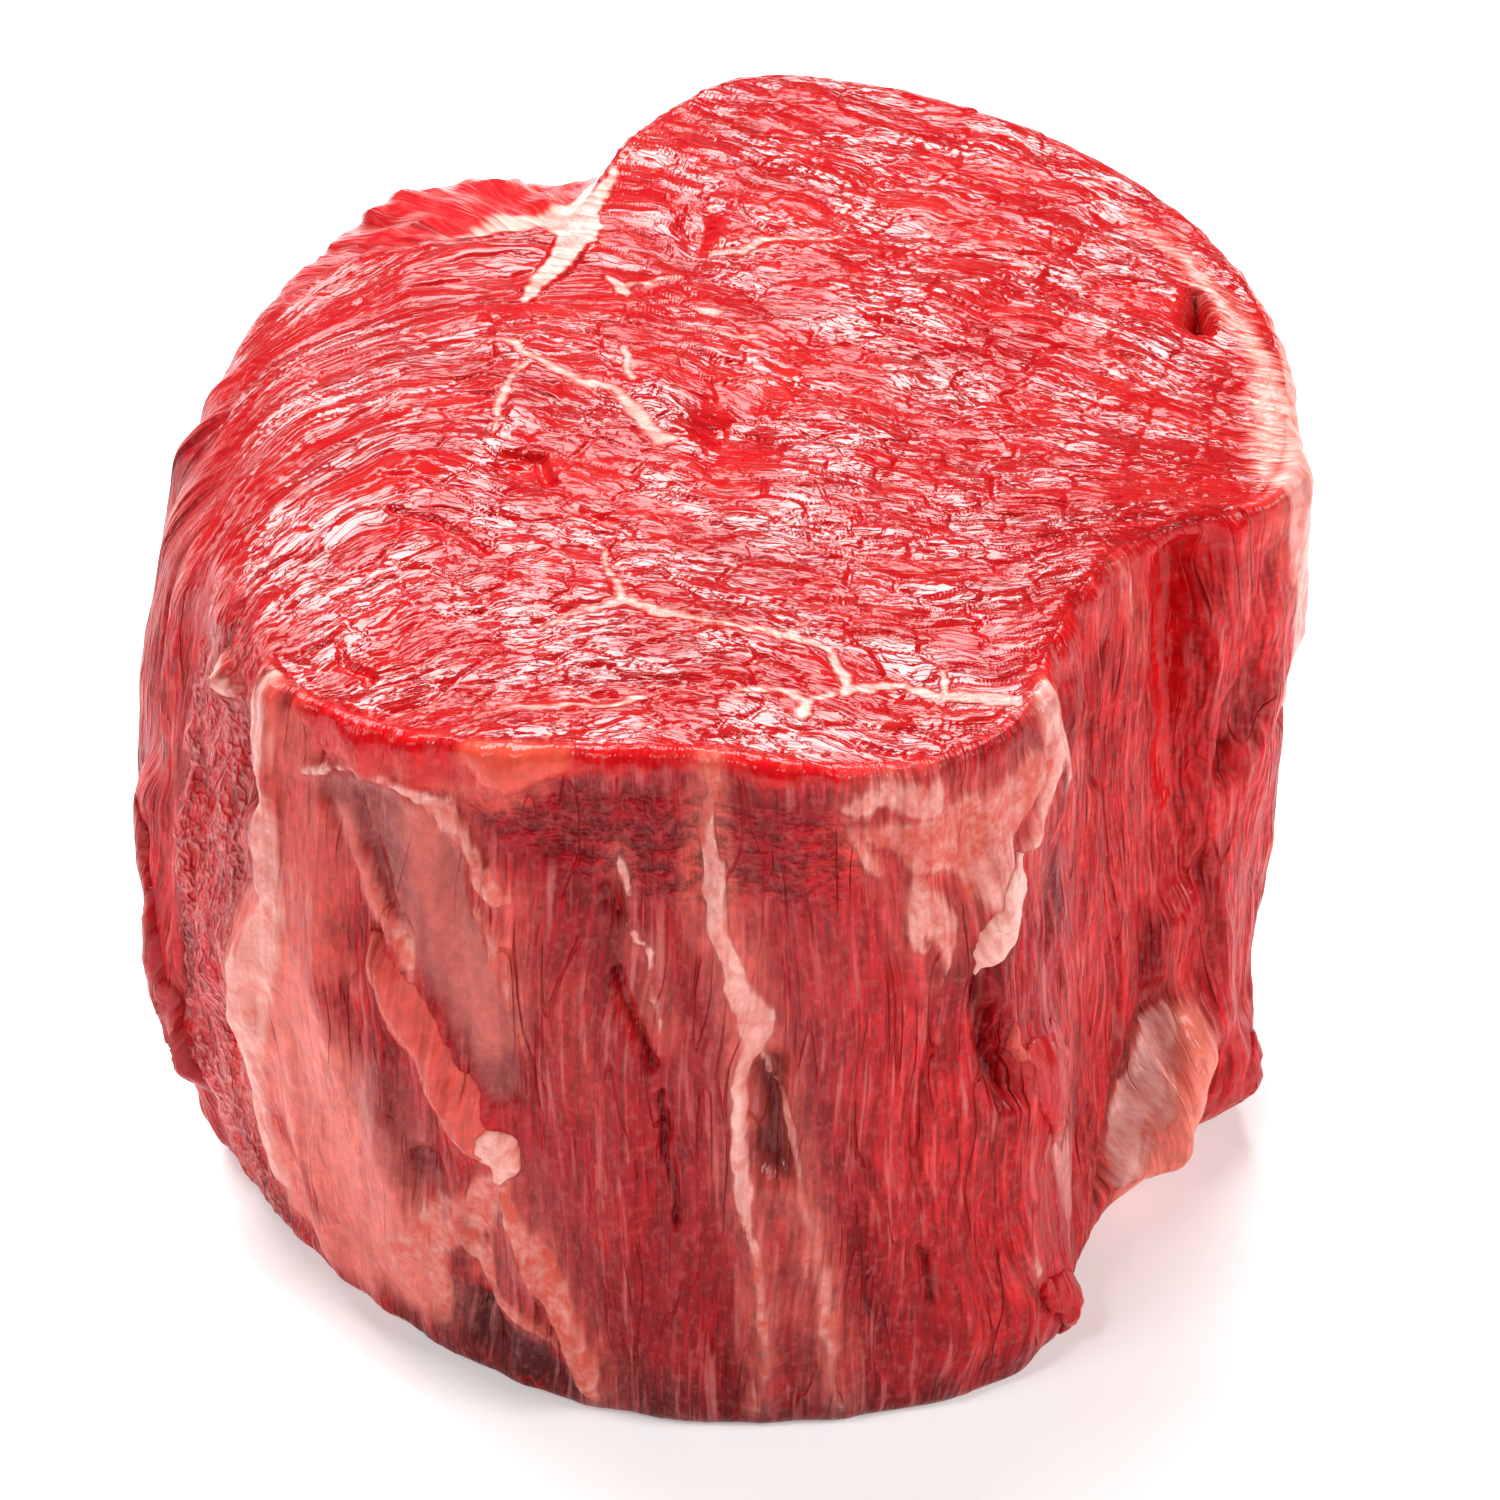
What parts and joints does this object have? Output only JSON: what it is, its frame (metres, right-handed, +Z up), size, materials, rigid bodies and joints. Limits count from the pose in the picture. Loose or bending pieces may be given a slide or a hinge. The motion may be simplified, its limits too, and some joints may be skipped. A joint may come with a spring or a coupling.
{
  "type": "filet mignon",
  "caption": "Thick raw filet mignon standing on a cut face, with a notch where the side muscle joins, seams of fat and a cut-back corner.",
  "frame": {"origin": "middle of the foot, on the plane that the cut stands on", "axes": "+Z up from the foot to the upper cut face; -Y faces the viewer of the picture; +X is to the viewer's right, at the cut-back corner and the fat edge"},
  "size_m": [0.0862, 0.0868, 0.0622],
  "materials": {
    "raw_beef": "moist raw meat with pale seams of fat"
  },
  "bodies": {
    "root": {"fillet": "raw_beef"}
  },
  "joints": []
}
